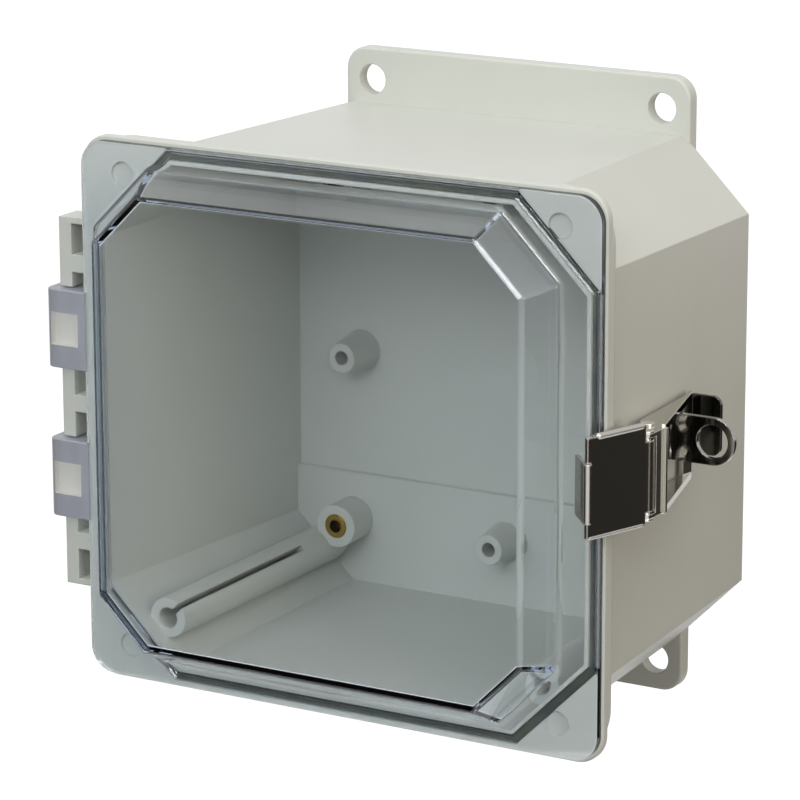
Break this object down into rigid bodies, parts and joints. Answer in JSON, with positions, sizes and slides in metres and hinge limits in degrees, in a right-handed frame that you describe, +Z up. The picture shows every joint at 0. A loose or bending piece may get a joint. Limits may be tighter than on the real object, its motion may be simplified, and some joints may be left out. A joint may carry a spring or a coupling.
{
  "type": "hinged polycarbonate enclosure",
  "caption": "Wall-mounted octagonal plastic enclosure with a hinged clear domed cover, a stainless snap latch with padlock eye, and mounting bosses inside.",
  "frame": {"origin": "centre of the four wall holes, on the wall plane", "axes": "+Z up, +Y into the wall, so the cover faces -Y; +X towards the latch, the hinge is at -X"},
  "size_m": [0.2098, 0.123, 0.1946],
  "materials": {
    "body_plastic": "satin",
    "clear_cover": "clear",
    "seal": "matte",
    "brass": "machined",
    "stainless": "polished"
  },
  "bodies": {
    "box": {"enclosure_body": "body_plastic", "gasket": "seal", "insert_upper_left": "brass", "insert_upper_right": "brass", "insert_lower_left": "brass", "insert_lower_right": "brass", "hinge_pin_upper": "stainless", "hinge_pin_lower": "stainless", "latch_base": "stainless", "lever_pivot_pin": "stainless", "latch_rivet_upper": "stainless", "latch_rivet_lower": "stainless", "rivet_washer_upper": "stainless", "rivet_washer_lower": "stainless"},
    "lid": {"cover": "clear_cover"},
    "lever": {"latch_lever": "stainless", "claw_pivot_pin": "stainless"},
    "claw": {"latch_claw": "stainless"}
  },
  "joints": [
    {"name": "cover_hinge", "type": "hinge", "parent": "box", "child": "lid", "pos_m": [-0.0971, -0.1035, 0], "axis": [0, 0, -1], "range_deg": [0, 165]},
    {"name": "lever_pivot", "type": "hinge", "parent": "box", "child": "lever", "pos_m": [0.0893, -0.0882, 0], "axis": [0, 0, -1], "range_deg": [0, 45]},
    {"name": "claw_pivot", "type": "hinge", "parent": "lever", "child": "claw", "pos_m": [0.0929, -0.0956, 0], "axis": [0, 0, 1], "range_deg": [0, 99]}
  ],
  "couplings": [
    {"joint": "claw_pivot", "follows": "lever_pivot", "ratio": 2.2}
  ]
}
